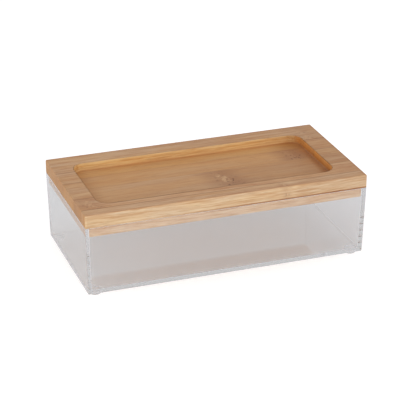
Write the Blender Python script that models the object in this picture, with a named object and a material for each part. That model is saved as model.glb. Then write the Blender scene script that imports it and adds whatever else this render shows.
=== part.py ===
"""A clear storage box on four small round feet, closed by a lift-off lid of glued bamboo strips.

The lid is two boards glued face to face. The rim board lies on top of the walls and has a shallow
tray cut into it. The plug board under it drops between the walls and keeps the lid in its place.
Lengths are in metres. X runs along the box, Y from its front to its back, and Z is up.
The origin is on the surface that the feet stand on, under the middle of the box.
"""

import bmesh
import bpy

# Clear box: its walls lean in a little from their top edge to the base, so that it leaves its mould
BOX_LENGTH = 0.240
BOX_DEPTH = 0.120
SHELL_HEIGHT = 0.0582
WALL_THICKNESS = 0.0030
BASE_THICKNESS = 0.0030
WALL_LEAN = 0.0014
OUTER_EDGE_RADIUS = 0.0008
INNER_EDGE_RADIUS = 0.0012

# Feet: round clear pads under the base's corners
FOOT_DIAMETER = 0.0100
FOOT_HEIGHT = 0.0023
FOOT_EDGE_GAP = 0.0027
FOOT_EDGE_RADIUS = 0.0006

# Lid, rim board: the tray is a little nearer to the left end than to the right
RIM_SETBACK = 0.00025
RIM_EDGE_RADIUS = 0.0008
TRAY_DEPTH = 0.0068
TRAY_FLOOR_THICKNESS = 0.0042
TRAY_LEFT_BORDER = 0.0168
TRAY_RIGHT_BORDER = 0.0197
TRAY_SIDE_BORDER = 0.0177
TRAY_CORNER_RADIUS = 0.0090
RIM_JOINT_SHARES = (0.275, 0.462, 0.733, 0.915)

# Lid, plug board
PLUG_THICKNESS = 0.0085
PLUG_CLEARANCE = 0.0004
PLUG_STRIP_COUNT = 5

# Shared by all pieces
CONTACT_GAP = 0.0003
CUT_OVERRUN = 0.0020
FINE_SEGMENTS = 3
TRAY_CORNER_SEGMENTS = 8
FOOT_SIDES = 40

# Colours of the pieces: red, green and blue, linear
CLEAR_COLOUR = (0.93, 0.94, 0.95)
BAMBOO_COLOUR = (0.58, 0.36, 0.18)
RIM_TONE_SHARES = (0.98, 1.02, 0.97, 1.03, 1.00)
PLUG_TONE_SHARES = (1.02, 0.97, 1.00, 1.03, 0.98)

# Heights above the surface that the feet stand on
SHELL_LOW = FOOT_HEIGHT + CONTACT_GAP
SHELL_HIGH = SHELL_LOW + SHELL_HEIGHT
RIM_LOW = SHELL_HIGH + CONTACT_GAP
TRAY_LOW = RIM_LOW + TRAY_FLOOR_THICKNESS
RIM_HIGH = TRAY_LOW + TRAY_DEPTH
PLUG_HIGH = RIM_LOW - CONTACT_GAP
PLUG_LOW = PLUG_HIGH - PLUG_THICKNESS


def clear_scene():
    """Remove every object that the scene starts with."""
    for thing in list(bpy.data.objects):
        bpy.data.objects.remove(thing, do_unlink=True)


def new_collection(name):
    """Make a collection in the scene."""
    collection = bpy.data.collections.new(name)
    bpy.context.scene.collection.children.link(collection)
    return collection


def plastic(name):
    """Return a clear, glossy plastic."""
    material = bpy.data.materials.new(name)
    material.use_nodes = True
    shader = material.node_tree.nodes["Principled BSDF"]
    shader.inputs["Base Color"].default_value = (*CLEAR_COLOUR, 1)
    shader.inputs["Roughness"].default_value = 0.04
    shader.inputs["Metallic"].default_value = 0
    shader.inputs["Transmission Weight"].default_value = 1
    return material


def bamboo(name, tone_share):
    """Return an oiled bamboo whose tone is a share of the common colour."""
    material = bpy.data.materials.new(name)
    material.use_nodes = True
    shader = material.node_tree.nodes["Principled BSDF"]
    colour = [tone_share * channel for channel in BAMBOO_COLOUR]
    shader.inputs["Base Color"].default_value = (*colour, 1)
    shader.inputs["Roughness"].default_value = 0.55
    shader.inputs["Metallic"].default_value = 0
    return material


def object_from(shape, name, collection, place, parent=None, material=None):
    """Turn a bmesh into an object of a collection, set at a place."""
    mesh = bpy.data.meshes.new(name)
    shape.to_mesh(mesh)
    shape.free()
    if material is not None:
        mesh.materials.append(material)
    thing = bpy.data.objects.new(name, mesh)
    collection.objects.link(thing)
    thing.location = place
    thing.parent = parent
    return thing


def as_cutter(thing):
    """Mark an object as a guide that is no piece of the box."""
    thing.hide_render = True
    thing.display_type = "WIRE"
    return thing


def tapered_block(foot, head, height):
    """Return a block round the origin whose foot and head are rectangles of (length, depth)."""
    block = bmesh.new()
    bmesh.ops.create_cube(block, size=1)
    for corner in block.verts:
        length, depth = head if corner.co.z > 0 else foot
        corner.co.x *= length
        corner.co.y *= depth
        corner.co.z *= height
    return block


def upright_edges(block):
    """Return the edges that run from the block's foot to its head."""
    return [edge for edge in block.edges if edge.verts[0].co.z * edge.verts[1].co.z < 0]


def foot_edges(block):
    """Return the edges that lie in the block's foot."""
    return [edge for edge in block.edges if edge.verts[0].co.z < 0 and edge.verts[1].co.z < 0]


def round_off(block, edges, radius, segments=FINE_SEGMENTS):
    """Round edges of a block to a radius."""
    bmesh.ops.bevel(block, geom=edges, offset=radius, segments=segments, profile=0.5, affect="EDGES")


def wall_rectangle(height, inset):
    """Return length and depth of the walls' faces at a height over the shell's underside."""
    stand_in = inset + WALL_LEAN * (SHELL_HEIGHT - height) / SHELL_HEIGHT
    return BOX_LENGTH - 2 * stand_in, BOX_DEPTH - 2 * stand_in


def cut(thing, cutter, operation):
    """Cut an object with another, or keep only what the two share."""
    modifier = thing.modifiers.new(operation.lower(), "BOOLEAN")
    modifier.operation = operation
    modifier.solver = "EXACT"
    modifier.object = cutter


def make_shell(pieces, cutters):
    """Make the moulded box: four leaning walls and a base, open at the top."""
    outside = tapered_block(wall_rectangle(0, 0), wall_rectangle(SHELL_HEIGHT, 0), SHELL_HEIGHT)
    round_off(outside, outside.edges[:], OUTER_EDGE_RADIUS)
    place = (0, 0, (SHELL_LOW + SHELL_HIGH) / 2)
    shell = object_from(outside, "box_shell", pieces, place, None, plastic("clear_plastic"))

    cavity_high = SHELL_HEIGHT + CUT_OVERRUN
    foot = wall_rectangle(BASE_THICKNESS, WALL_THICKNESS)
    head = wall_rectangle(cavity_high, WALL_THICKNESS)
    inside = tapered_block(foot, head, cavity_high - BASE_THICKNESS)
    round_off(inside, upright_edges(inside) + foot_edges(inside), INNER_EDGE_RADIUS)
    place = (0, 0, SHELL_LOW + (BASE_THICKNESS + cavity_high) / 2)
    cut(shell, as_cutter(object_from(inside, "cavity_cutter", cutters, place)), "DIFFERENCE")


def make_foot(name, side_x, side_y, pieces):
    """Make one round pad under a corner of the base, face to face with it."""
    pad = bmesh.new()
    radius = FOOT_DIAMETER / 2
    bmesh.ops.create_cone(
        pad, cap_ends=True, segments=FOOT_SIDES, radius1=radius, radius2=radius, depth=FOOT_HEIGHT
    )
    round_off(pad, foot_edges(pad), FOOT_EDGE_RADIUS)
    length, depth = wall_rectangle(0, 0)
    from_edge = FOOT_EDGE_GAP + radius
    place = (side_x * (length / 2 - from_edge), side_y * (depth / 2 - from_edge), FOOT_HEIGHT / 2)
    object_from(pad, name, pieces, place, None, plastic(name + "_plastic"))


def make_rim_blank(cutters, lift):
    """Make the rim board in one piece, as a guide: its rounded outline with the tray cut out."""
    length = BOX_LENGTH - 2 * RIM_SETBACK
    depth = BOX_DEPTH - 2 * RIM_SETBACK
    thickness = RIM_HIGH - RIM_LOW
    board = tapered_block((length, depth), (length, depth), thickness)
    round_off(board, board.edges[:], RIM_EDGE_RADIUS)
    place = (0, 0, (RIM_LOW + RIM_HIGH) / 2 - lift.location.z)
    blank = as_cutter(object_from(board, "rim_blank", cutters, place, lift))

    tray_length = length - TRAY_LEFT_BORDER - TRAY_RIGHT_BORDER
    tray_depth = depth - 2 * TRAY_SIDE_BORDER
    tray_height = TRAY_DEPTH + CUT_OVERRUN
    hollow = tapered_block((tray_length, tray_depth), (tray_length, tray_depth), tray_height)
    round_off(hollow, upright_edges(hollow), TRAY_CORNER_RADIUS, TRAY_CORNER_SEGMENTS)
    tray_middle = (TRAY_LEFT_BORDER - TRAY_RIGHT_BORDER) / 2
    place = (tray_middle, 0, TRAY_LOW + tray_height / 2 - lift.location.z)
    cut(blank, as_cutter(object_from(hollow, "tray_cutter", cutters, place, lift)), "DIFFERENCE")
    return blank


def make_plug_blank(cutters, lift):
    """Make the plug board in one piece, as a guide: it clears the walls at its lowest edge."""
    length, depth = wall_rectangle(PLUG_LOW - SHELL_LOW, WALL_THICKNESS + PLUG_CLEARANCE)
    board = tapered_block((length, depth), (length, depth), PLUG_THICKNESS)
    round_off(board, upright_edges(board) + foot_edges(board), INNER_EDGE_RADIUS)
    place = (0, 0, (PLUG_LOW + PLUG_HIGH) / 2 - lift.location.z)
    return as_cutter(object_from(board, "plug_blank", cutters, place, lift))


def make_strips(kind, blank, joint_shares, tone_shares, pieces):
    """Cut a board into lengthwise strips, numbered from the back, with a thin joint between them."""
    length, depth, thickness = blank.dimensions
    edges = [depth * (0.5 - share) for share in joint_shares]
    backs = [depth / 2 + CUT_OVERRUN] + [edge - CONTACT_GAP / 2 for edge in edges]
    fronts = [edge + CONTACT_GAP / 2 for edge in edges] + [-depth / 2 - CUT_OVERRUN]
    for number, (back, front, tone_share) in enumerate(zip(backs, fronts, tone_shares), start=1):
        name = f"{kind}_strip_{number}"
        size = (length + 2 * CUT_OVERRUN, back - front)
        slab = tapered_block(size, size, thickness + 2 * CUT_OVERRUN)
        place = (0, (back + front) / 2, blank.location.z)
        strip = object_from(slab, name, pieces, place, blank.parent, bamboo(name + "_bamboo", tone_share))
        cut(strip, blank, "INTERSECT")


def make_lid(pieces, cutters):
    """Make both boards of the lid under one empty, which lifts straight up."""
    lift = bpy.data.objects.new("lid_lift", None)
    pieces.objects.link(lift)
    lift.location = (0, 0, SHELL_HIGH)

    rim_blank = make_rim_blank(cutters, lift)
    plug_blank = make_plug_blank(cutters, lift)
    bpy.context.view_layer.update()
    plug_joint_shares = [joint / PLUG_STRIP_COUNT for joint in range(1, PLUG_STRIP_COUNT)]
    make_strips("rim", rim_blank, RIM_JOINT_SHARES, RIM_TONE_SHARES, pieces)
    make_strips("plug", plug_blank, plug_joint_shares, PLUG_TONE_SHARES, pieces)


def main():
    """Build the whole storage box."""
    clear_scene()
    pieces = new_collection("lidded_storage_box")
    cutters = new_collection("cutters")
    make_shell(pieces, cutters)
    for row, side_y in (("front", -1), ("back", 1)):
        for end, side_x in (("left", -1), ("right", 1)):
            make_foot(f"foot_{row}_{end}", side_x, side_y, pieces)
    make_lid(pieces, cutters)


main()
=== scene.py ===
# %% [markdown]
# # A clear box with a bamboo lid
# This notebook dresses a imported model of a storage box. The box is one moulding of clear, hard
# plastic on four small round feet. Its lid is glued up from bamboo strips: a rim board with a
# shallow tray cut into the top, and a plug board under it that drops inside the walls.
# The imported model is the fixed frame. Every new piece is built in the same metres and stands in
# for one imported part, so nothing has to be fitted by eye.

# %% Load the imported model
import math

import bmesh
import bpy
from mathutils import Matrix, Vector


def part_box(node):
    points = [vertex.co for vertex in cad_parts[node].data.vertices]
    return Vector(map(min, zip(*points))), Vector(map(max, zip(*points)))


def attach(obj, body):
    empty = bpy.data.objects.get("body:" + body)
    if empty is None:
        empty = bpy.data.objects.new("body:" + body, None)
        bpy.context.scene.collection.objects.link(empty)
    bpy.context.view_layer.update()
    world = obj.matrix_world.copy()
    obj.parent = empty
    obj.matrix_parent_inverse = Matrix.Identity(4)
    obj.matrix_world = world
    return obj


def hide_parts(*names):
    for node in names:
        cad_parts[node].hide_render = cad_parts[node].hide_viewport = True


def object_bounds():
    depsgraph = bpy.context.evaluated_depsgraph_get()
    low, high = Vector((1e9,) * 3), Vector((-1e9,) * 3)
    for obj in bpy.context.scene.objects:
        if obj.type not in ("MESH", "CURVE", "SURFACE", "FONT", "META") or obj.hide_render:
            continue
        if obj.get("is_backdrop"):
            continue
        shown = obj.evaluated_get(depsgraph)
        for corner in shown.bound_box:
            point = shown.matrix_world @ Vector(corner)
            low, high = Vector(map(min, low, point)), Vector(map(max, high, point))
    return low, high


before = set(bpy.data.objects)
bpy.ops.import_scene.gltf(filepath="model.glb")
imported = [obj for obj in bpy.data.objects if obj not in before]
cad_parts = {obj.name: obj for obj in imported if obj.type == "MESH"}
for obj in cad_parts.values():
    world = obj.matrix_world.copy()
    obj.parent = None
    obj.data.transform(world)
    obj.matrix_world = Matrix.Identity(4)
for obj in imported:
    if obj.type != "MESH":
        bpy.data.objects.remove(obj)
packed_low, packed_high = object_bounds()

MM = 0.001


def from_mm(*lengths):
    """Lengths in mm, turned into the metres that Blender works in."""
    return [length * MM for length in lengths]


packed_size = [round(x / MM, 1) for x in packed_high - packed_low]
print("packed parts:", len(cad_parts), "size in mm:", packed_size)

# %% [markdown]
# ## The camera
# A long lens from a little over a metre keeps the box's edges almost parallel, as in the
# photograph. The place, the aim and the lens were solved together from the straight edges of the
# lid and the walls, so they belong together and are not tuned one by one.

# %% Set the camera
SENSOR_WIDTH = 36.0
LENS = 147.73
CAMERA_PLACE = (-0.42242, -1.17471, 0.60645)
CAMERA_TILT = math.radians(65.683)
CAMERA_TURN = math.radians(-19.605)

camera_data = bpy.data.cameras.new("camera")
camera_data.sensor_width = SENSOR_WIDTH
camera_data.lens = LENS
camera = bpy.data.objects.new("camera", camera_data)
camera.location = CAMERA_PLACE
camera.rotation_euler = (CAMERA_TILT, 0, CAMERA_TURN)
bpy.context.scene.collection.objects.link(camera)
bpy.context.scene.camera = camera
print("camera to box in m:", round((camera.location - (packed_low + packed_high) / 2).length, 3))

# %% [markdown]
# ## A short way to write nodes
# Materials here are made from many small nodes, which could also be placed by hand in the
# shader editor. In a script one helper adds a node, sets its options and fills its inputs. An
# input may be a plain value, or the output of another node, which is then joined to it. The other
# helpers are the sums that the masks are made of: rise and fall turn a value into a soft edge.

# %% Helpers for nodes
def fill_inputs(tree, node, inputs):
    """Set a node's inputs to plain values, or join other nodes' outputs to them."""
    for socket, value in inputs.items():
        if isinstance(value, bpy.types.NodeSocket):
            tree.links.new(value, node.inputs[socket])
        else:
            node.inputs[socket].default_value = value


def add_node(tree, kind, inputs=None, **options):
    node = tree.nodes.new("ShaderNode" + kind)
    for option, value in options.items():
        setattr(node, option, value)
    fill_inputs(tree, node, inputs or {})
    return node


def calculate(tree, operation, *values):
    return add_node(tree, "Math", dict(enumerate(values)), operation=operation).outputs[0]


def plus(tree, first, second):
    return calculate(tree, "ADD", first, second)


def minus(tree, first, second):
    return calculate(tree, "SUBTRACT", first, second)


def times(tree, first, *others):
    for other in others:
        first = calculate(tree, "MULTIPLY", first, other)
    return first


def size_of(tree, value):
    return calculate(tree, "ABSOLUTE", value)


def rise(tree, value, low, high):
    """0 below low, 1 above high, and a smooth change between."""
    inputs = {"Value": value, "From Min": low, "From Max": high}
    return add_node(tree, "MapRange", inputs, interpolation_type="SMOOTHSTEP").outputs["Result"]


def fall(tree, value, low, high):
    """1 below low, 0 above high, and a smooth change between."""
    return minus(tree, 1.0, rise(tree, value, low, high))


def at_least(tree, least, mask):
    """A mask lifted so that its 0 becomes the least value and its 1 stays."""
    return plus(tree, least, times(tree, mask, 1.0 - least))


def split(tree, vector):
    """The three numbers of a vector."""
    return list(add_node(tree, "SeparateXYZ", {"Vector": vector}).outputs)


def add_vectors(tree, first, second):
    return add_node(tree, "VectorMath", {0: first, 1: second}, operation="ADD").outputs[0]


print("node helpers ready")

# %% [markdown]
# ## Colours, levels and groups
# Mix nodes blend two colours, or two plain levels, by a share from 0 to 1. Multiplying with a
# tint near white is how grain, hue and wear are laid over a base colour without hiding it.
# An effect that several materials need is a node group: built once with named sockets, then
# placed in each material with that material's own values.

# %% Mixing and grouping
def mix_colours(tree, share, first, second, blend="MIX"):
    inputs = {0: share, 6: first, 7: second}
    return add_node(tree, "Mix", inputs, data_type="RGBA", blend_type=blend).outputs[2]


def tinted(tree, share, colour, tint):
    return mix_colours(tree, share, colour, tint, "MULTIPLY")


def mix_levels(tree, share, first, second):
    return add_node(tree, "Mix", {0: share, 2: first, 3: second}, data_type="FLOAT").outputs[0]


def new_group(name, vectors, values, masks):
    """An empty node group. Vectors and values go in at its start, masks come out at its end."""
    group = bpy.data.node_groups.new(name, "ShaderNodeTree")
    sockets = [(vectors, "INPUT", "NodeSocketVector"), (values, "INPUT", "NodeSocketFloat"),
               (masks, "OUTPUT", "NodeSocketFloat")]
    for labels, way, kind in sockets:
        for label in labels:
            group.interface.new_socket(label, in_out=way, socket_type=kind)
    start = group.nodes.new("NodeGroupInput").outputs
    end = group.nodes.new("NodeGroupOutput")
    return group, start, end


def place_group(tree, group, inputs):
    return add_node(tree, "Group", inputs, node_tree=group).outputs


def socket_names(group, way):
    return [item.name for item in group.interface.items_tree if item.in_out == way]


def new_material(name):
    material = bpy.data.materials.new(name)
    material.use_nodes = True
    tree = material.node_tree
    return material, tree, tree.nodes["Principled BSDF"]


print("mixing helpers ready")

# %% [markdown]
# ## The floor
# The floor is a plain pale sheet, far larger than the picture. A Light Path node tells what kind
# of ray asks for its colour. Rays straight from the camera get some light added, so that the open
# floor reads as white while the box's own shadow stays. Mirrored rays and rays through the plastic
# get only a little, because the floor that shows through the box is quieter than the open floor.

# %% Floor
WHITE = (1, 1, 1, 1)
FLOOR_COLOUR = (0.74, 0.74, 0.75, 1)
FLOOR_STRAIGHT = 0.48
FLOOR_PASSED = 0.07
FLOOR_REACH = 8.0
FLOOR_DROP = 0.05 * MM


def level_for_rays(tree, plain, straight, passed):
    """One level for camera rays, one for mirrored and bent rays, and one for the rest."""
    path = add_node(tree, "LightPath").outputs
    indirect = calculate(tree, "MAXIMUM", path["Is Glossy Ray"], path["Is Transmission Ray"])
    level = mix_levels(tree, indirect, plain, passed)
    return mix_levels(tree, path["Is Camera Ray"], level, straight)


floor_material, tree, shader = new_material("pale_floor")
lift = level_for_rays(tree, 0.0, FLOOR_STRAIGHT, FLOOR_PASSED)
fill_inputs(tree, shader, {"Base Color": FLOOR_COLOUR, "Roughness": 1.0, "Specular IOR Level": 0.0,
                           "Emission Color": WHITE, "Emission Strength": lift})

floor_corners = [(-1, -1), (1, -1), (1, 1), (-1, 1)]
floor_points = [(x * FLOOR_REACH, y * FLOOR_REACH, -FLOOR_DROP) for x, y in floor_corners]
floor_mesh = bpy.data.meshes.new("floor")
floor_mesh.from_pydata(floor_points, [], [(0, 1, 2, 3)])
floor_mesh.materials.append(floor_material)
floor = bpy.data.objects.new("floor", floor_mesh)
bpy.context.scene.collection.objects.link(floor)
floor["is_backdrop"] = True
print("floor", FLOOR_COLOUR[:3], "reaches", FLOOR_REACH, "m")

# %% [markdown]
# ## The world
# The world is the light from all round. It is graded by height, and nearly twice as strong from
# the sides as from the roof, which keeps upright faces lively. The camera sees it as plain white.
# Mirrored and bent rays see a light grey, and that is what gives the clear edges their tone.
# Light runs along inside a clear edge for many turns before it gets out again, so rays are
# followed for 32 of them.

# %% World
WORLD_SIDES = 0.76
WORLD_ROOF = 0.42
WORLD_PASSED = 0.62
LAST_BOUNCE = 32
CLEAR_BOUNCES = 24

world = bpy.data.worlds.new("studio")
world.use_nodes = True
tree = world.node_tree
tree.nodes.clear()
upward = split(tree, add_node(tree, "TexCoord").outputs["Generated"])[2]
graded = add_node(tree, "MapRange", {"Value": upward, "To Min": WORLD_SIDES, "To Max": WORLD_ROOF})
level = level_for_rays(tree, graded.outputs["Result"], 1.0, WORLD_PASSED)
background = add_node(tree, "Background", {"Color": WHITE, "Strength": level})
add_node(tree, "OutputWorld", {"Surface": background.outputs[0]})

scene = bpy.context.scene
scene.world = world
scene.view_settings.view_transform = "Standard"
scene.cycles.max_bounces = LAST_BOUNCE
scene.cycles.transmission_bounces = LAST_BOUNCE
scene.cycles.glossy_bounces = LAST_BOUNCE
scene.cycles.transparent_max_bounces = CLEAR_BOUNCES
print("world light", WORLD_SIDES, "to", WORLD_ROOF, "bounces", LAST_BOUNCE)

# %% [markdown]
# ## The lamps
# Three large soft lamps. The main one stands low and nearly in front, and makes the front edge
# of the lid brighter than its top. A weak one overhead fills the tray. A third, low on the left,
# lifts the end that is turned to the camera. Mirrored and bent rays don't see the lamps, because
# their square shapes would stand in the clear walls as hard white patches.

# %% Lamps
def soft_lamp(name, azimuth, elevation, distance, size, strength):
    """A square lamp aimed at the box. Azimuth 0 is in front and grows towards the right."""
    data = bpy.data.lights.new(name, "AREA")
    data.size = size
    data.energy = strength
    lamp = bpy.data.objects.new(name, data)
    turn, climb = math.radians(azimuth), math.radians(elevation)
    level = math.cos(climb)
    away = Vector((math.sin(turn) * level, -math.cos(turn) * level, math.sin(climb)))
    lamp.location = away * distance
    lamp.rotation_euler = away.to_track_quat("Z", "Y").to_euler()
    lamp.visible_glossy = False
    lamp.visible_transmission = False
    scene.collection.objects.link(lamp)


soft_lamp("front_softbox", azimuth=1, elevation=17, distance=2.6, size=1.6, strength=33.5)
soft_lamp("top_softbox", azimuth=0, elevation=88, distance=2.0, size=1.6, strength=9.1)
soft_lamp("left_softbox", azimuth=-95, elevation=20, distance=1.8, size=1.2, strength=3.7)

# %% [markdown]
# ## Turns in a profile
# Both the box and the lid are rounded rectangles that change size as they rise, so each is built
# from rings: one ring of points for each level. A cube with a Bevel modifier would do for a plain
# block, but rings give every level its own lean, corner and tag, and the wall and the tray need
# all three. A sharp turn in the profile, such as the lip of the wall, first becomes several
# rings along an arc: a real edge is never knife sharp, and its round is what catches the light.

# %% Soften the turns
ARC_STEPS = 6
PLAIN = (0, 0)


def softened(corners):
    """Corners are (inset, height, corner radius, softening, tags). Turns become arcs of rings."""
    rings = [(*corners[0][:3], corners[0][4])]
    for before, here, after in zip(corners, corners[1:], corners[2:]):
        inset, height, radius, softening, tags = here
        if not softening:
            rings.append((inset, height, radius, tags))
            continue
        turn = Vector((inset, height))
        back = (Vector(before[:2]) - turn).normalized()
        on = (Vector(after[:2]) - turn).normalized()
        half = back.angle(on) / 2
        centre = turn + (back + on).normalized() * softening / math.sin(half)
        first = turn + back * softening / math.tan(half) - centre
        last = turn + on * softening / math.tan(half) - centre
        sweep = first.angle(last)
        for step in range(ARC_STEPS + 1):
            share = step / ARC_STEPS
            from_first = first * math.sin((1 - share) * sweep)
            point = centre + (from_first + last * math.sin(share * sweep)) / math.sin(sweep)
            rings.append((point.x, point.y, radius * (1 - share) + after[2] * share, tags))
    rings.append((*corners[-1][:3], corners[-1][4]))
    return rings


print("rings per arc:", ARC_STEPS + 1)

# %% [markdown]
# ## A skin over the rings
# A skin of quads joins each ring to the next and closes both ends, so the result is a solid body
# and not a sheet. Every ring also carries two tags, kept on its points as attributes: 1 where the
# router has cut, and 1 where that cut turns into the shaded foot of the tray's wall. The
# bamboo material reads them later, which is simpler than telling the faces apart by their place.

# %% Build a solid from rings
CORNER_STEPS = 10
RING_TAGS = ("routed", "shaded")


def rings_of(profile, half_length, half_depth):
    """Rings for the skin from a softened profile, set in from a board's outer sizes."""
    return [(half_length - inset, half_depth - inset, radius, height, 0, tags)
            for inset, height, radius, tags in profile]


def ring_points(half_x, half_y, radius, height, shift):
    """A level rounded rectangle, counter-clockwise from above."""
    points = []
    for corner in range(4):
        side_x = 1 if corner in (0, 3) else -1
        side_y = 1 if corner in (0, 1) else -1
        for step in range(CORNER_STEPS + 1):
            angle = (corner + step / CORNER_STEPS) * math.pi / 2
            x = shift + side_x * (half_x - radius) + radius * math.cos(angle)
            y = side_y * (half_y - radius) + radius * math.sin(angle)
            points.append((x, y, height))
    return points


def join_loops(body, loops):
    """Quads between neighbouring loops, and a lid on the first and the last."""
    for low, high in zip(loops, loops[1:]):
        for i in range(len(low)):
            j = (i + 1) % len(low)
            body.faces.new((low[i], low[j], high[j], high[i]))
    body.faces.new(list(reversed(loops[0])))
    body.faces.new(loops[-1])


def skin(rings):
    """A closed body from rings of (half x, half y, radius, height, shift, tags)."""
    body = bmesh.new()
    layers = [body.verts.layers.float.new(name) for name in RING_TAGS]
    loops = []
    for *outline, tags in rings:
        loop = [body.verts.new(point) for point in ring_points(*outline)]
        for vertex in loop:
            for layer, tag in zip(layers, tags):
                vertex[layer] = tag
        loops.append(loop)
    join_loops(body, loops)
    bmesh.ops.recalc_face_normals(body, faces=body.faces)
    return body


print("points per ring:", 4 * (CORNER_STEPS + 1))

# %% [markdown]
# ## From a body to a piece
# A finished piece is shaded smooth, with its turns of more than 35 degrees kept crisp. The
# Weighted Normal modifier leans the shading towards the large faces, so that a flat stays flat
# beside a small round. Then the piece takes its material, is hung under an empty for the body
# that carries it, and the imported parts that it stands for are hidden.

# %% Finish a piece
CRISP_TURN = math.radians(35)


def finish_piece(body, name, material, cad_body, slot, *nodes):
    """Turn a body into a smooth-shaded piece that rides on the frame and stands in for nodes."""
    for face in body.faces:
        face.smooth = True
    for edge in body.edges:
        if len(edge.link_faces) == 2 and edge.calc_face_angle() > CRISP_TURN:
            edge.smooth = False
    mesh = bpy.data.meshes.new(name)
    body.to_mesh(mesh)
    body.free()
    mesh.materials.append(material)
    piece = bpy.data.objects.new(name, mesh)
    scene.collection.objects.link(piece)
    weigh = piece.modifiers.new("even_shading", "WEIGHTED_NORMAL")
    weigh.keep_sharp = True
    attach(piece, cad_body)
    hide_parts(*nodes)


print("turns stay crisp over", round(math.degrees(CRISP_TURN)), "degrees")

# %% [markdown]
# ## Clear plastic
# Hard clear plastic bends light about as much as window glass does. A Principled shader with its
# Transmission Weight at 1 does the bending and the mirroring. Lamp rays and soft bounced rays are
# let straight through instead, because following them through bent plastic would need thousands
# of samples to look calm. A ray that is still trapped in an edge at the last bounce would come
# back black, so there the plastic glows in the grey of its surroundings. A weak absorption
# darkens the long way along an edge more than the short way through a wall. A moulding's faces
# are not perfectly flat, so a faint, wide ripple goes into the Bump node, and a few handling
# marks into Roughness.

# %% Clear plastic material
PLASTIC_COLOUR = (0.985, 0.990, 1.0, 1)
PLASTIC_BEND = 1.55
TRAPPED_GLOW = (0.365, 0.35, 0.36, 1)
ABSORBED = {"Color": (0.25, 0.25, 0.29, 1), "Density": 0.8}
RIPPLES = {"Scale": 22.0, "Detail": 1.0}
RIPPLE_RELIEF = {"Strength": 0.05, "Distance": 0.02 * MM}
MARKS = {"Scale": 900.0, "Detail": 2.0}
MARK_RANGE = (0.72, 0.80)
MARK_ROUGHNESS = 0.15


def clear_plastic(name):
    material, tree, shader = new_material(name)
    place = add_node(tree, "TexCoord").outputs["Object"]
    ripple = add_node(tree, "TexNoise", {"Vector": place, **RIPPLES}).outputs[0]
    bump = add_node(tree, "Bump", {"Height": ripple, **RIPPLE_RELIEF})
    marks = add_node(tree, "TexNoise", {"Vector": place, **MARKS}).outputs[0]
    rough = times(tree, rise(tree, marks, *MARK_RANGE), MARK_ROUGHNESS)
    path = add_node(tree, "LightPath").outputs
    trapped = calculate(tree, "GREATER_THAN", path["Ray Depth"], LAST_BOUNCE - 0.5)
    fill_inputs(tree, shader, {
        "Base Color": PLASTIC_COLOUR, "IOR": PLASTIC_BEND, "Transmission Weight": 1.0,
        "Roughness": rough, "Normal": bump.outputs[0],
        "Emission Color": TRAPPED_GLOW, "Emission Strength": trapped})
    material.cycles.emission_sampling = "NONE"
    straight = calculate(tree, "MAXIMUM", path["Is Shadow Ray"], path["Is Diffuse Ray"])
    window = add_node(tree, "BsdfTransparent", {"Color": WHITE})
    mix = add_node(tree, "MixShader", {0: straight, 1: shader.outputs[0], 2: window.outputs[0]})
    body = add_node(tree, "VolumeAbsorption", ABSORBED)
    output = {"Surface": mix.outputs[0], "Volume": body.outputs[0]}
    fill_inputs(tree, tree.nodes["Material Output"], output)
    return material


box_plastic = clear_plastic("clear_moulded_plastic")
print("the plastic bends light by", PLASTIC_BEND)

# %% [markdown]
# ## The box
# The walls are 3 mm thick and lean in a little towards the base, so that the moulding leaves its
# tool. The skin starts under the base, turns up the outside, rolls over the lip and goes down the
# inside to the floor of the box. The inside turns into its floor almost sharply: in clear
# plastic a large round there would act as a lens and draw a bright line along the whole box.

# %% The moulded box
HALF_LENGTH = 120 * MM
HALF_DEPTH = 60 * MM
BASE_LOW = 2.6 * MM
LIP_HIGH = 60.8 * MM
WALL = 3.0 * MM
BASE = 3.0 * MM
LEAN = 1.4 * MM
OUTER_ROUND = 0.8 * MM
LIP_ROUND = 0.5 * MM
LIP_INSET = 0.02 * MM
INNER_ROUND = 1.2 * MM
FOOT_FILLET = 0.25 * MM
FLOOR_CORNER = 4.0 * MM
FLAT_START = 8 * MM


def lean_at(height):
    return LEAN * (LIP_HIGH - height) / (LIP_HIGH - BASE_LOW)


floor_high = BASE_LOW + BASE
inner_foot = WALL + lean_at(floor_high)
wall_profile = softened([
    (LEAN + FLAT_START, BASE_LOW, OUTER_ROUND, 0, PLAIN),
    (LEAN, BASE_LOW, OUTER_ROUND, OUTER_ROUND, PLAIN),
    (LIP_INSET, LIP_HIGH, OUTER_ROUND, LIP_ROUND, PLAIN),
    (WALL, LIP_HIGH, INNER_ROUND, OUTER_ROUND, PLAIN),
    (inner_foot, floor_high, INNER_ROUND, FOOT_FILLET, PLAIN),
    (inner_foot + FLAT_START, floor_high, FLOOR_CORNER, 0, PLAIN),
])
wall_rings = rings_of(wall_profile, HALF_LENGTH, HALF_DEPTH)
finish_piece(skin(wall_rings), "clear_box", box_plastic, "box", "clear_shell", "box_shell")
print("box skin has", len(wall_rings), "rings")

# %% [markdown]
# ## The feet
# Four low round pads of the same plastic. Each is turned from a profile, as on a lathe: round
# loops of points, one for each step of the profile. A cylinder would have a knife edge at the
# floor, where the pad is rounded. A foot reaches a hair into the base, so that no film of air
# shows between them.

# %% The feet
FOOT_RADIUS = 5 * MM
FOOT_ROUND = 0.6 * MM
FOOT_STEPS = 48
FOOT_OVERLAP = 0.02 * MM


def foot_profile(low, high):
    """Radius and height at each step, from the rounded edge at the floor up to the base."""
    profile = []
    for step in range(ARC_STEPS + 1):
        angle = step / ARC_STEPS * math.pi / 2
        out = FOOT_RADIUS - FOOT_ROUND + FOOT_ROUND * math.sin(angle)
        profile.append((out, low + FOOT_ROUND * (1 - math.cos(angle))))
    return profile + [(FOOT_RADIUS, high)]


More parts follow.
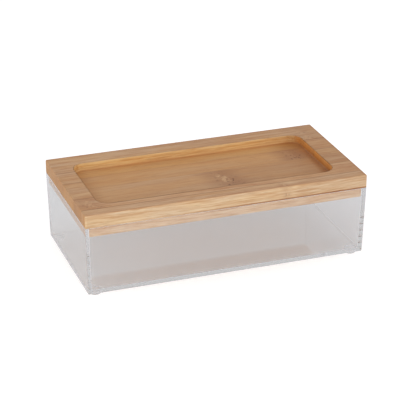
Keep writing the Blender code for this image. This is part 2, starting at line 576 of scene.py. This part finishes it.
def turned_foot(middle_x, middle_y, low, high):
    angles = [2 * math.pi * step / FOOT_STEPS for step in range(FOOT_STEPS)]
    body = bmesh.new()
    loops = []
    for radius, height in foot_profile(low, high):
        spots = [(middle_x + radius * math.cos(angle), middle_y + radius * math.sin(angle), height)
                 for angle in angles]
        loops.append([body.verts.new(spot) for spot in spots])
    join_loops(body, loops)
    return body


for end in ("front", "back"):
    for side in ("left", "right"):
        node = f"foot_{end}_{side}"
        low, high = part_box(node)
        middle = (low + high) / 2
        foot = turned_foot(middle.x, middle.y, low.z, BASE_LOW + FOOT_OVERLAP)
        finish_piece(foot, "clear_" + node, box_plastic, "box", "clear_foot", node)
print("feet of radius", FOOT_RADIUS / MM, "mm")

# %% [markdown]
# ## Bamboo grain
# A bamboo board is glued from strips. Along each strip run long soft bands, finer streaks, and
# fibre bundles as thin as thread, some of them dark and broken into dashes. All come from noise
# that is stretched along the strip. A wood texture made for tree rings would give arches, which
# bamboo never has. A slow sway bends the lines, as a saw cut that isn't quite in line with the
# fibres does, and it always moves them within the face they are on. On the cut ends the same
# noise shows as fine dots, as real bundles do.

# %% Node group for the grain
SWAY = dict(along=9, across=34, detail=1.0)
BANDS = dict(along=9, across=130, detail=2.0)
LONG_STREAKS = dict(along=18, across=480, detail=3.0, rough=0.6)
SHORT_STREAKS = dict(along=60, across=900, detail=2.0, rough=0.6)
FIBRES = dict(along=60, across=2300, detail=2.0, rough=0.6)
DASHES = dict(along=90, across=1300, detail=1.0)
HUES = dict(along=14, across=75, detail=1.0)
DASH_RANGE = (0.60, 0.72)


def stretched_noise(tree, vector, along, across, detail, rough=0.5):
    """Noise with about so many marks in a metre along the strip, and so many across it."""
    spread = add_node(tree, "Mapping", {"Vector": vector, "Scale": (along, across, across)})
    inputs = {"Vector": spread.outputs[0], "Scale": 1.0, "Detail": detail, "Roughness": rough}
    return add_node(tree, "TexNoise", inputs).outputs[0]


def build_grain_group():
    tree, start, end = new_group("bamboo_grain", ["Vector", "Sway"], ["Seed", "Wander"],
                                 ["Bands", "Streaks", "Fibres", "Dashes", "Hue"])
    seed = start["Seed"]
    jump = add_node(tree, "CombineXYZ", {"X": seed, "Y": seed, "Z": seed}).outputs[0]
    moved = add_vectors(tree, start["Vector"], jump)
    sway = minus(tree, stretched_noise(tree, moved, **SWAY), 0.5)
    push = {0: start["Sway"], "Scale": times(tree, sway, start["Wander"])}
    shift = add_node(tree, "VectorMath", push, operation="SCALE").outputs[0]
    vector = add_vectors(tree, moved, shift)
    long_streaks = stretched_noise(tree, vector, **LONG_STREAKS)
    short_streaks = stretched_noise(tree, vector, **SHORT_STREAKS)
    fill_inputs(tree, end, {
        "Bands": stretched_noise(tree, vector, **BANDS),
        "Streaks": mix_levels(tree, 0.5, long_streaks, short_streaks),
        "Fibres": stretched_noise(tree, vector, **FIBRES),
        "Dashes": rise(tree, stretched_noise(tree, vector, **DASHES), *DASH_RANGE),
        "Hue": stretched_noise(tree, vector, **HUES)})
    return tree


grain_group = build_grain_group()
print("grain group outputs:", socket_names(grain_group, "OUTPUT"))

# %% [markdown]
# ## Where a knuckle lies
# A bamboo cane has a joint every hand's width or so. Sawn into a strip it shows as a band across
# the strip, a little askew and wavy. Every part of that band is drawn by how far a point
# lies from its middle line, counted in half widths, so one place and one width set the whole mark.
# A painted picture would do it once. This way every strip gets a knuckle of its own.

# %% Distance from a knuckle
KNUCKLE_WAVE = 8 * MM
WAVES_IN_A_METRE = 80.0
KNUCKLE_SLANT = 0.22


def centred_noise(tree, vector, scale, detail, swing):
    """Noise that swings to both sides of 0."""
    inputs = {"Vector": vector, "Scale": scale, "Detail": detail}
    noise = add_node(tree, "TexNoise", inputs).outputs[0]
    return times(tree, minus(tree, noise, 0.5), swing)


def knuckle_distances(tree, start):
    """The shifted place, the distance along the strip in half widths, and the one across it."""
    jump = add_node(tree, "CombineXYZ", {"X": start["Seed"], "Y": start["Seed"]}).outputs[0]
    moved = add_vectors(tree, start["Vector"], jump)
    x, y, _ = split(tree, start["Vector"])
    off_middle = minus(tree, y, start["Middle"])
    bend = centred_noise(tree, moved, WAVES_IN_A_METRE, 1.0, KNUCKLE_WAVE)
    bend = plus(tree, bend, times(tree, off_middle, KNUCKLE_SLANT))
    off_centre = plus(tree, minus(tree, x, start["Place"]), bend)
    return moved, calculate(tree, "DIVIDE", off_centre, start["Half Width"]), off_middle


print("a knuckle sways up to", KNUCKLE_WAVE / 2 / MM, "mm")

# %% [markdown]
# ## The marks of a knuckle
# Its core is pale and broken into ragged blobs. Beside it are dark ticks that run across the
# strip, more of them on one side and towards the strip's front. A brownish shade lies round both.
# Past the knuckle the strip often goes on in another tone, and some start it with a paler patch.
# Each pair of numbers below is where a mark starts to change and where it has changed. Those that
# end in width, start or end are counted in half widths from the knuckle's middle line.

# %% Node group for a knuckle
TORN = dict(scale=520.0, detail=2.0, swing=3.0)
BLOBS = dict(along=300, across=380, detail=1.0)
BLOB_RANGE = (0.44, 0.58)
TICKS = dict(along=400, across=290, detail=1.0)
TICK_RANGE = (0.55, 0.68)
CORE_WIDTH = (0.3, 1.1)
FLECK_WIDTH = (0.8, 3.6)
SHADE_WIDTH = (0.8, 6.0)
MORE_FLECKS_START = (-3.0, 1.0)
BEYOND_START = (-1.0, 1.5)
PATCH_END = (5.0, 13.0)
FRONTWARD = from_mm(-5, 6)
REACH_FADE = 4 * MM
FEWEST_ONE_SIDE = 0.35
FEWEST_AT_BACK = 0.3


def knuckle_core(tree, moved, away, off_middle, reach):
    torn = size_of(tree, plus(tree, away, centred_noise(tree, moved, **TORN)))
    blobs = rise(tree, stretched_noise(tree, moved, **BLOBS), *BLOB_RANGE)
    past_reach = minus(tree, size_of(tree, off_middle), reach)
    within = fall(tree, past_reach, -REACH_FADE, 0.0)
    return times(tree, fall(tree, torn, *CORE_WIDTH), blobs, within)


def knuckle_flecks(tree, moved, away, off_middle, core):
    near = fall(tree, size_of(tree, away), *FLECK_WIDTH)
    one_side = at_least(tree, FEWEST_ONE_SIDE, rise(tree, away, *MORE_FLECKS_START))
    frontward = at_least(tree, FEWEST_AT_BACK, fall(tree, off_middle, *FRONTWARD))
    ticks = rise(tree, stretched_noise(tree, moved, **TICKS), *TICK_RANGE)
    return times(tree, near, one_side, ticks, frontward, minus(tree, 1.0, core))


def build_knuckle_group():
    values = ["Place", "Half Width", "Seed", "Middle", "Reach"]
    masks = ["Core", "Flecks", "Shade", "Beyond", "Patch"]
    tree, start, end = new_group("bamboo_knuckle", ["Vector"], values, masks)
    moved, away, off_middle = knuckle_distances(tree, start)
    core = knuckle_core(tree, moved, away, off_middle, start["Reach"])
    beyond = rise(tree, away, *BEYOND_START)
    fill_inputs(tree, end, {
        "Core": core,
        "Flecks": knuckle_flecks(tree, moved, away, off_middle, core),
        "Shade": fall(tree, size_of(tree, away), *SHADE_WIDTH),
        "Beyond": beyond,
        "Patch": times(tree, beyond, fall(tree, away, *PATCH_END))})
    return tree


knuckle_group = build_knuckle_group()
print("knuckle group inputs:", socket_names(knuckle_group, "INPUT"))

# %% [markdown]
# ## The colours of bamboo
# One board shows bamboo in several cuts. The sanded top is a quiet tan. The long sawn edge is
# paler. The ends, cut across the fibres, are browner. The router's cut is fresher: the tray's wall
# is golden, and its floor lies between that and the top. Its far right end wall is deep orange:
# end grain with painted shade, as that wall faces away from the light. The underside keeps its
# fresh, light tone. Screen values are easier to choose, so a helper turns them into the linear
# values that Blender mixes. The second list holds tints to multiply with. Several of them are
# painted shade: at the foot of the tray's wall, by the tray's ends, on the rim's foot and on the
# back and right top edges. A pale tint also serves as a painted highlight on the front left corner.

# %% Colours
def rgb(red, green, blue):
    """A colour as a screen shows it, turned into the linear values that Blender mixes."""
    def straight(value):
        value /= 255
        return value / 12.92 if value <= 0.04045 else ((value + 0.055) / 1.055) ** 2.4
    return (straight(red), straight(green), straight(blue), 1)


TOP = rgb(191, 149, 111)
LONG_EDGE = rgb(204, 169, 131)
CUT_END = rgb(210, 158, 108)
UNDERSIDE = rgb(224, 184, 145)
TRAY_FLOOR = rgb(191, 145, 101)
TRAY_SIDE = rgb(214, 174, 120)
SHADED_TRAY_END = rgb(228, 164, 92)
DASH = rgb(120, 78, 46)
GLUE_LINE = rgb(112, 74, 48)
KNUCKLE_SHADE = rgb(140, 94, 70)
KNUCKLE_FLECK = rgb(104, 66, 46)
KNUCKLE_CORE = rgb(208, 168, 128)

SHADED_EDGE = (0.90, 0.83, 0.76, 1)
DARK_GRAIN = (0.86, 0.75, 0.66, 1)
PALE_GRAIN = (1.09, 1.18, 1.26, 1)
DARK_LINE = (0.82, 0.68, 0.56, 1)
GOLDEN = (1.02, 0.99, 0.93, 1)
ROSY = (0.99, 1.00, 1.04, 1)
PAST_KNUCKLE = (0.87, 0.81, 0.76, 1)
PALE_PATCH_AND_HIGHLIGHT = (1.10, 1.16, 1.20, 1)
SCORCH_AND_SHADE = (0.68, 0.53, 0.36, 1)
CUTTER_STEP = (0.90, 0.74, 0.52, 1)
PAINTED_EDGE_SHADE = (0.84, 0.70, 0.58, 1)
RIM_FOOT_SHADE = (0.54, 0.33, 0.18, 1)
print("top in linear values:", [round(value, 3) for value in TOP[:3]])

# %% [markdown]
# ## Which cut a point lies on
# Seven materials could be given to seven sets of faces, but then the grain would stop at each
# edge. One material that finds out for itself where it is keeps the fibres whole round a corner.
# It looks at the way the surface faces and at the tag that the tray's rings carry, and picks
# that cut's colour.

# %% Base colour of each cut
LEVEL_RANGE = (0.35, 0.85)
END_RANGE = (0.45, 0.95)


def base_of_cuts(tree, facing, tray_colour):
    """The cut's colour with its painted shade, and two masks: the tray's floor and the tray's wall.
    """
    x, _, z = split(tree, facing)
    routed, shaded = [add_node(tree, "Attribute", attribute_name=tag).outputs["Fac"]
                      for tag in RING_TAGS]
    level = rise(tree, size_of(tree, z), *LEVEL_RANGE)
    downward = rise(tree, times(tree, z, -1.0), *LEVEL_RANGE)
    endways = rise(tree, size_of(tree, x), *END_RANGE)
    shaded_end = rise(tree, times(tree, x, -1.0), *END_RANGE)
    flat = mix_colours(tree, routed, TOP, tray_colour)
    flat = mix_colours(tree, downward, flat, UNDERSIDE)
    along = mix_colours(tree, routed, LONG_EDGE, TRAY_SIDE)
    # Painted shade: only the tray's far right end wall, which faces away from the light, takes the
    # deep orange. The left end wall keeps the side's colour.
    tray_ends = mix_colours(tree, shaded_end, TRAY_SIDE, SHADED_TRAY_END)
    across = mix_colours(tree, routed, CUT_END, tray_ends)
    colour = mix_colours(tree, level, mix_colours(tree, endways, along, across), flat)
    # Painted shade: the foot of the tray's wall, where the rings' 'shaded' tag is set, is darkened.
    colour = tinted(tree, times(tree, shaded, routed), colour, SHADED_EDGE)
    tray_floor = times(tree, level, routed)
    return colour, tray_floor, minus(tree, routed, tray_floor)


print("cuts are told apart by facing and by the tags", RING_TAGS)

# %% [markdown]
# ## Knuckles and glue lines on a strip
# The knuckle group puts out masks only, and here they meet the colours, layer over layer: the
# new tone past the knuckle, the shade, the ticks, the pale patch and last the core. The
# glue line is a thin dark edge along both glued sides of a strip.

# %% Draw a knuckle and the glue lines
NO_LIMIT = 200
SHADE_STRENGTH = 0.30
FLECK_STRENGTH = 0.65
GLUE_WIDTH = from_mm(0.15, 0.85)


def with_knuckle(tree, colour, place, seed, middle, spot, half_width, dark, pale, step,
                 patch=0, reach=NO_LIMIT):
    """Spot, half width and reach are in mm. Dark, pale, step and patch are strengths."""
    knuckle = place_group(tree, knuckle_group, {
        "Vector": place, "Place": spot * MM, "Half Width": half_width * MM, "Seed": seed,
        "Middle": middle, "Reach": reach * MM})
    shade = times(tree, knuckle["Shade"], SHADE_STRENGTH * dark)
    flecks = times(tree, knuckle["Flecks"], FLECK_STRENGTH * dark)
    colour = tinted(tree, times(tree, knuckle["Beyond"], step), colour, PAST_KNUCKLE)
    colour = mix_colours(tree, shade, colour, KNUCKLE_SHADE)
    colour = mix_colours(tree, flecks, colour, KNUCKLE_FLECK)
    colour = tinted(tree, times(tree, knuckle["Patch"], patch), colour, PALE_PATCH_AND_HIGHLIGHT)
    return mix_colours(tree, times(tree, knuckle["Core"], pale), colour, KNUCKLE_CORE)


def glue_lines(tree, place, sides):
    """1 close to a strip's two glued sides, 0 elsewhere."""
    depth = split(tree, place)[1]
    gaps = [size_of(tree, minus(tree, depth, side)) for side in sides]
    return fall(tree, calculate(tree, "MINIMUM", *gaps), *GLUE_WIDTH)


print("layers of a knuckle:", socket_names(knuckle_group, "OUTPUT"))

# %% [markdown]
# ## What the router left, and painted shade in the tray
# The tray's floor and walls are darkened in a scorched brown near both ends, most in the far right
# corner and at the foot of the right end wall. This is painted shade where the walls keep light
# off, and in the far right corner partly a router scorch as well. The router's second pass left a
# fine step along the walls, and a torn dark line on the near edge of the tray.
# Each mark is a mask made from the place on the board, so it stays where it is from any side.

# %% The router's marks and painted shade
RIM_LOW = 60.85 * MM
RIM_HIGH = 72.1 * MM
TRAY_LOW = 65.3 * MM
STEP_HIGH = TRAY_LOW + 3.9 * MM
LEAST_FLOOR_SHADE = 0.2
RIGHT_END_SHADE = 0.75
LEFT_END_SHADE = 0.30
FAR_WALL_SHADE = 0.7
LEFT_WALL_SHADE = 0.25
STEP_STRENGTH = 0.6
TORN_FADE = {"From Min": -40 * MM, "From Max": 0, "To Min": 0.7, "To Max": 0.25}


def floor_shade_and_scorch(tree, x, y):
    # Painted shade on the tray's floor, towards both ends and most in the far right corner.
    backward = calculate(tree, "POWER", rise(tree, y, *from_mm(-34, 40)), 2.0)
    backward = at_least(tree, LEAST_FLOOR_SHADE, backward)
    far_right = times(tree, rise(tree, x, *from_mm(66, 96)), backward)
    right_end = times(tree, rise(tree, x, *from_mm(90, 97.5)), RIGHT_END_SHADE)
    left_end = times(tree, fall(tree, x, *from_mm(-103, -86)), LEFT_END_SHADE)
    return plus(tree, calculate(tree, "MAXIMUM", far_right, right_end), left_end)


def wall_shade_and_scorch(tree, x, y, z):
    # Painted shade on the tray's walls: the far right corner, the foot of the right end wall and
    # the left part.
    far = rise(tree, y, *from_mm(18, 40))
    far_right = times(tree, rise(tree, x, *from_mm(86, 98)), far, FAR_WALL_SHADE)
    foot = fall(tree, z, TRAY_LOW + 0.2 * MM, TRAY_LOW + 4.2 * MM)
    right_foot = times(tree, foot, rise(tree, x, *from_mm(90, 97)))
    left = times(tree, fall(tree, x, *from_mm(-104, -60)), LEFT_WALL_SHADE)
    return calculate(tree, "MAXIMUM", calculate(tree, "MAXIMUM", far_right, right_foot), left)


def cutter_marks_and_shade(tree, place, colour, tray_floor, tray_wall):
    x, y, z = split(tree, place)
    on_floor = times(tree, floor_shade_and_scorch(tree, x, y), tray_floor)
    on_wall = times(tree, wall_shade_and_scorch(tree, x, y, z), tray_wall)
    # The painted shade, partly a scorch, is laid on in a scorched brown.
    colour = tinted(tree, plus(tree, on_floor, on_wall), colour, SCORCH_AND_SHADE)
    off_step = size_of(tree, minus(tree, z, STEP_HIGH))
    step = times(tree, fall(tree, off_step, *from_mm(0.2, 0.7)), tray_wall, STEP_STRENGTH)
    return tinted(tree, step, colour, CUTTER_STEP)


def torn_edge(tree, place, colour, depth):
    """A thin dark line where the cutter left the tray's near edge, weaker towards the right."""
    x, y, z = split(tree, place)
    line = fall(tree, size_of(tree, minus(tree, y, depth)), *from_mm(0.5, 1.3))
    on_top = rise(tree, z, RIM_HIGH - 0.6 * MM, RIM_HIGH - 0.2 * MM)
    between_ends = fall(tree, size_of(tree, x), *from_mm(90, 97))
    strength = add_node(tree, "MapRange", {"Value": x, **TORN_FADE}).outputs[0]
    return mix_colours(tree, times(tree, line, on_top, between_ends, strength), colour, GLUE_LINE)


print("tray floor at", TRAY_LOW / MM, "mm, step at", round(STEP_HIGH / MM, 1), "mm")

# %% [markdown]
# ## Painted shade and highlight on the rim's edges
# The foot of the rim, above the box's lip, is darkened as painted shade, more of it to the right.
# The back and right edges of the top are darkened as painted shade too. The upright corner at the
# front left is paler: a painted highlight.

# %% Painted shade and highlight on edges
SHADED_FOOT_BAND = (RIM_LOW + 0.6 * MM, RIM_LOW + 1.6 * MM)
FOOT_SHADE_GROWS = {"From Min": -60 * MM, "From Max": 10 * MM}
SHADE_AT_RIGHT = (HALF_LENGTH - 2.2 * MM, HALF_LENGTH - 0.9 * MM)
SHADE_AT_BACK = (HALF_DEPTH - 3.0 * MM, HALF_DEPTH - 1.4 * MM)
SHADE_NEAR_TOP = (RIM_HIGH - 1.0 * MM, RIM_HIGH - 0.3 * MM)
HIGHLIGHT_LEFT = (-HALF_LENGTH + 0.6 * MM, -HALF_LENGTH + 2.2 * MM)
HIGHLIGHT_FRONT = (-HALF_DEPTH + 1.0 * MM, -HALF_DEPTH + 3.0 * MM)


def rim_edge_shade_and_highlight(tree, place, colour):
    x, y, z = split(tree, place)
    # Painted shade along the rim's foot above the box's lip, growing towards the right.
    foot_shade = add_node(tree, "MapRange", {"Value": x, **FOOT_SHADE_GROWS}).outputs[0]
    foot_shade = times(tree, fall(tree, z, *SHADED_FOOT_BAND), foot_shade)
    colour = tinted(tree, foot_shade, colour, RIM_FOOT_SHADE)
    # Painted shade on the top's right and back edges, which turn away from the light.
    edge = calculate(tree, "MAXIMUM", rise(tree, x, *SHADE_AT_RIGHT), rise(tree, y, *SHADE_AT_BACK))
    edge_shade = times(tree, edge, rise(tree, z, *SHADE_NEAR_TOP))
    colour = tinted(tree, edge_shade, colour, PAINTED_EDGE_SHADE)
    # Painted highlight: the upright corner at the front left is made paler.
    corner_highlight = times(tree, fall(tree, x, *HIGHLIGHT_LEFT), fall(tree, y, *HIGHLIGHT_FRONT))
    return tinted(tree, corner_highlight, colour, PALE_PATCH_AND_HIGHLIGHT)


print("rim from", RIM_LOW / MM, "to", RIM_HIGH / MM, "mm")

# %% [markdown]
# ## Grain over a colour
# The grain is laid over the cut's colour in layers: a pale and dark mix of bands, streaks and
# fibres, then bolder dark lines, a slow change of hue, and last the dashes. The same grain drives
# roughness and a fine bump, so the sheen breaks up along the fibres, and a thin coat stands for
# the oil on the wood.

# %% Grain and surface
GRAIN_SHARES = {"Bands": 0.22, "Streaks": 0.58, "Fibres": 0.20}
GRAIN_RANGE = (0.40, 0.60)
LINE_RANGE = (0.34, 0.45)
HUE_RANGE = (0.38, 0.62)
DASH_STRENGTH = 0.20
LEAST_ROUGH = 0.50
ROUGH_SWING = 0.16
STREAK_RELIEF = 0.5
FIBRE_RELIEF = {"Strength": 0.25, "Distance": 0.05 * MM}
OILED = {"Specular IOR Level": 0.35, "Coat Weight": 0.06, "Coat Roughness": 0.35}


def with_grain(tree, colour, grain, contrast, bold):
    shares = [times(tree, grain[name], share) for name, share in GRAIN_SHARES.items()]
    mixed = plus(tree, plus(tree, shares[0], shares[1]), shares[2])
    shade = mix_colours(tree, rise(tree, mixed, *GRAIN_RANGE), DARK_GRAIN, PALE_GRAIN)
    colour = tinted(tree, contrast, colour, shade)
    lines = times(tree, fall(tree, grain["Streaks"], *LINE_RANGE), contrast, bold)
    colour = tinted(tree, lines, colour, DARK_LINE)
    hue = mix_colours(tree, rise(tree, grain["Hue"], *HUE_RANGE), GOLDEN, ROSY)
    colour = tinted(tree, 1.0, colour, hue)
    return mix_colours(tree, times(tree, grain["Dashes"], DASH_STRENGTH), colour, DASH)


def surface_of_bamboo(tree, shader, grain):
    rough = plus(tree, LEAST_ROUGH, times(tree, grain["Streaks"], ROUGH_SWING))
    height = plus(tree, grain["Fibres"], times(tree, grain["Streaks"], STREAK_RELIEF))
    bump = add_node(tree, "Bump", {"Height": height, **FIBRE_RELIEF})
    fill_inputs(tree, shader, {"Roughness": rough, "Normal": bump.outputs[0], **OILED})


print("grain is mixed from", GRAIN_SHARES)

# %% [markdown]
# ## Bamboo
# The material joins all of this: the cut's colour, the router's marks with the painted shade in the
# tray, the grain, the knuckles, the glue lines, the painted shade and highlight on the rim's edges,
# and last the strip's own tint, as each strip came from another cane. Grain is half as strong on
# the tray's floor, which the cutter left smooth, and on the cut ends, where every fibre is seen
# end on.

# %% Bamboo material
CALMED = 0.5
GLUE_STRENGTH = 0.42


def grain_on(tree, place, level, seed, wander):
    """The strip's own grain. Its lines sway within the face that they are on."""
    sway = add_node(tree, "CombineXYZ", {"Y": level, "Z": minus(tree, 1.0, level)}).outputs[0]
    inputs = {"Vector": place, "Sway": sway, "Seed": seed, "Wander": wander}
    return place_group(tree, grain_group, inputs)


def bamboo(name, seed, sides, tint=(1, 1, 1), wander=0.004, knuckles=(), bold=0.5,
           tray_colour=TRAY_FLOOR, tray_edge=None, on_rim=True):
    material, tree, shader = new_material(name)
    coordinates = add_node(tree, "TexCoord").outputs
    place, facing = coordinates["Object"], coordinates["Normal"]
    colour, tray_floor, tray_wall = base_of_cuts(tree, facing, tray_colour)
    colour = cutter_marks_and_shade(tree, place, colour, tray_floor, tray_wall)
    x, _, z = split(tree, facing)
    grain = grain_on(tree, place, size_of(tree, z), seed, wander)
    calm = plus(tree, tray_floor, rise(tree, size_of(tree, x), *END_RANGE))
    contrast = minus(tree, 1.0, times(tree, calm, CALMED))
    colour = with_grain(tree, colour, grain, contrast, bold)
    for number, knuckle in enumerate(knuckles):
        colour = with_knuckle(tree, colour, place, seed + number, sum(sides) / 2, **knuckle)
    glued = times(tree, glue_lines(tree, place, sides), contrast, contrast, GLUE_STRENGTH)
    colour = mix_colours(tree, glued, colour, GLUE_LINE)
    if on_rim:
        colour = rim_edge_shade_and_highlight(tree, place, colour)
    if tray_edge:
        colour = torn_edge(tree, place, colour, tray_edge)
    fill_inputs(tree, shader, {"Base Color": tinted(tree, 1.0, colour, (*tint, 1))})
    surface_of_bamboo(tree, shader, grain)
    return material


print("bamboo material ready")

# %% [markdown]
# ## Slicing a board
# A board is skinned whole and then sliced along its glue lines, and each slice becomes one strip
# with closed sides. Building each strip by itself would mean fitting the tray's round corners
# together piece by piece. Slicing keeps them whole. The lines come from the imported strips,
# with the gap between two neighbours closed to a hair of glue. Each strip then gets a bamboo of
# its own and is finished.

# %% Slice a board into strips
GLUE = 0.06 * MM
OVER_THE_EDGE = 1 * MM
ON_THE_CUT = 1e-7


def sliced(board, front, back):
    """Keep the part of a board between two depths and close its cut sides."""
    piece = board.copy()
    for depth, normal in ((back, (0, 1, 0)), (front, (0, -1, 0))):
        geometry = piece.verts[:] + piece.edges[:] + piece.faces[:]
        bmesh.ops.bisect_plane(piece, geom=geometry, plane_co=(0, depth, 0), plane_no=normal,
                               clear_outer=True, dist=ON_THE_CUT)
        rim = [e for e in piece.edges if len(e.link_faces) == 1]
        bmesh.ops.holes_fill(piece, edges=rim, sides=0)
    bmesh.ops.recalc_face_normals(piece, faces=piece.faces)
    return piece


def strip_sides(nodes):
    """Front and back of each strip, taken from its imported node, with neighbours brought close."""
    boxes = [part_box(node) for node in nodes]
    sides = []
    for number, (low, high) in enumerate(boxes):
        back = high.y + OVER_THE_EDGE
        front = low.y - OVER_THE_EDGE
        if number:
            back = (high.y + boxes[number - 1][0].y) / 2 - GLUE / 2
        if number + 1 < len(boxes):
            front = (low.y + boxes[number + 1][1].y) / 2 + GLUE / 2
        sides.append((front, back))
    return sides


def finish_strips(board, nodes, looks, slot):
    for node, look, sides in zip(nodes, looks, strip_sides(nodes)):
        material = bamboo("bamboo_" + node, sides=sides, **look)
        finish_piece(sliced(board, *sides), "bamboo_" + node, material, "lid", slot, node)
    board.free()


rim_nodes = [f"rim_strip_{n}" for n in range(1, 6)]
rim_widths = [round((back - front) / MM, 1) for front, back in strip_sides(rim_nodes)]
print("rim strips are wide, in mm:", rim_widths)

# %% [markdown]
# ## The rim board
# The rim board lies flush with the box's walls, set back by less than a hair at the ends and a
# little more at the front and back. Its rings go up the outside and over the top edge, then
# down the tray's wall and into the rounded foot that the router bit leaves. The tray isn't quite
# in the middle: the border at the right is wider than at the left. The outer profile ends, and the
# tray's starts, with a corner that only gives the top its direction and is dropped again.

# %% Rings of the rim board
SETBACK = 0.06 * MM
SIDE_SETBACK = 0.2 * MM
RIM_ROUND = 0.8 * MM
SMALL_ROUND = 0.3 * MM
TRAY_BORDER_LEFT = 16.8 * MM
TRAY_BORDER_RIGHT = 19.7 * MM
TRAY_BORDER_SIDE = 17.7 * MM
TRAY_CORNER = 10.5 * MM
TRAY_COVE = 1.8 * MM
BESIDE_TRAY = 0.1 * MM
CUT_START = RIM_HIGH - 0.4 * MM
OVER_FOOT = TRAY_LOW + 3 * MM
NEAR_FOOT = TRAY_COVE + 2 * MM
PAST_FOOT = TRAY_COVE + 7 * MM
CUT = (1, 0)
CUT_FOOT = (1, 1)
CUT_NEAR_FOOT = (1, 0.3)

rim_profile = softened([
    (SETBACK + FLAT_START, RIM_LOW, RIM_ROUND, 0, PLAIN),
    (SETBACK, RIM_LOW, RIM_ROUND, SMALL_ROUND, PLAIN),
    (SETBACK, RIM_HIGH, RIM_ROUND, RIM_ROUND, PLAIN),
    (SETBACK + 6 * MM, RIM_HIGH, RIM_ROUND, 0, PLAIN),
])[:-1]
tray_profile = [(-BESIDE_TRAY, RIM_HIGH, TRAY_CORNER, PLAIN)] + softened([
    (-4 * MM, RIM_HIGH, TRAY_CORNER, 0, PLAIN),
    (0, RIM_HIGH, TRAY_CORNER, SMALL_ROUND, PLAIN),
    (0, CUT_START, TRAY_CORNER, 0, CUT),
    (0, OVER_FOOT, TRAY_CORNER, 0, CUT),
    (0, TRAY_LOW, TRAY_CORNER, TRAY_COVE, CUT_FOOT),
    (NEAR_FOOT, TRAY_LOW, TRAY_CORNER, 0, CUT_NEAR_FOOT),
])[1:]
tray_profile.append((PAST_FOOT, TRAY_LOW, TRAY_CORNER, CUT))
rim_length = 2 * (HALF_LENGTH - SETBACK)
tray_half_length = (rim_length - TRAY_BORDER_LEFT - TRAY_BORDER_RIGHT) / 2
tray_half_depth = HALF_DEPTH - SIDE_SETBACK - TRAY_BORDER_SIDE
tray_shift = (TRAY_BORDER_LEFT - TRAY_BORDER_RIGHT) / 2
rim_rings = rings_of(rim_profile, HALF_LENGTH, HALF_DEPTH - SIDE_SETBACK)
tray_rings = [(tray_half_length - inset, tray_half_depth - inset, max(radius - inset, MM),
               height, tray_shift, tags)
              for inset, height, radius, tags in tray_profile]
print("tray in mm:", round(2 * tray_half_length / MM, 1), "by", round(2 * tray_half_depth / MM, 1))

# %% [markdown]
# ## The rim's five strips
# Strip 1 is at the back and strip 5 at the front. Each has its own seed, tint and knuckles, set
# from left to right in mm. The two front strips come from livelier cane: their lines wander
# more, and those of strip 4 are bolder as well.

# %% The rim strips
rim_looks = [
    # Strip 1's tray floor lies along the golden back wall and is the most golden. It is partly its
    # own tone, partly painted light bounced from that wall.
    dict(seed=3.1, tint=(1.01, 1.03, 1.03), tray_colour=rgb(193, 145, 96),
         knuckles=[dict(spot=103, half_width=3, dark=0.5, pale=0.2, step=0.5)]),
    dict(seed=7.4, tint=(0.98, 0.97, 0.95), tray_colour=rgb(193, 147, 102),
         knuckles=[dict(spot=83.5, half_width=3.6, dark=1.3, pale=0.12, step=0.4)]),
    dict(seed=12.9, tint=(1.01, 1.03, 1.02), tray_colour=rgb(191, 147, 107),
         knuckles=[dict(spot=12, half_width=4.2, dark=1.35, pale=0.62, step=0.85, reach=10)]),
    dict(seed=18.2, tint=(1.04, 1.03, 1.00), tray_colour=rgb(185, 138, 97),
         wander=0.010, bold=0.8, tray_edge=-tray_half_depth,
         knuckles=[dict(spot=-111, half_width=3, dark=0.9, pale=0.4, step=0),
                   dict(spot=66, half_width=3, dark=0.2, pale=0.1, step=0.5)]),
    dict(seed=23.7, tint=(1.04, 1.09, 1.13), wander=0.007,
         knuckles=[dict(spot=48, half_width=1.2, dark=0.5, pale=0.3, step=0.3, patch=1)]),
]
finish_strips(skin(rim_rings + tray_rings), rim_nodes, rim_looks, "bamboo_rim")
print("rim strips:", rim_nodes)

# %% [markdown]
# ## The plug board
# The lower board is a plain block of five strips that drops between the walls with a little
# play. It shows through the plastic, just under the rim, and its fresh wood is paler, so its
# tint is stronger. Every second strip is a shade darker, as neighbours in a glued board are.

# %% The plug strips
PLUG_LOW = 52.3 * MM
PLUG_HIGH = 60.82 * MM
PLUG_PLAY = 0.4 * MM
PLUG_ROUND = 0.8 * MM
PLUG_TINT = (1.08, 1.145, 1.27)
DARKER = 0.02
FIRST_SEED = 42.6
SEED_STEP = 5.7

plug_inset = WALL + lean_at(PLUG_LOW) + PLUG_PLAY
plug_profile = softened([
    (plug_inset + FLAT_START, PLUG_LOW, INNER_ROUND, 0, PLAIN),
    (plug_inset, PLUG_LOW, INNER_ROUND, PLUG_ROUND, PLAIN),
    (plug_inset, PLUG_HIGH, INNER_ROUND, SMALL_ROUND, PLAIN),
    (plug_inset + FLAT_START, PLUG_HIGH, INNER_ROUND, 0, PLAIN),
])
plug_rings = rings_of(plug_profile, HALF_LENGTH, HALF_DEPTH)
plug_nodes = [f"plug_strip_{n}" for n in range(1, 6)]
plug_looks = []
for number in range(len(plug_nodes)):
    tone = 1.0 - DARKER * (number % 2)
    plug_looks.append(dict(seed=FIRST_SEED + SEED_STEP * number, on_rim=False,
                           tint=[tone * part for part in PLUG_TINT]))
finish_strips(skin(plug_rings), plug_nodes, plug_looks, "bamboo_plug")
print("plug strips:", len(plug_nodes))

# %% [markdown]
# ## The size of the dressed model
# The last cell prints the dressed model's size in mm. The imported model's size was printed at
# the start. The dressed model has to stay inside the box that the imported one fills.

# %% Size of the dressed model
low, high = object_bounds()
print("visual size in mm:", [round(x / MM, 2) for x in high - low])
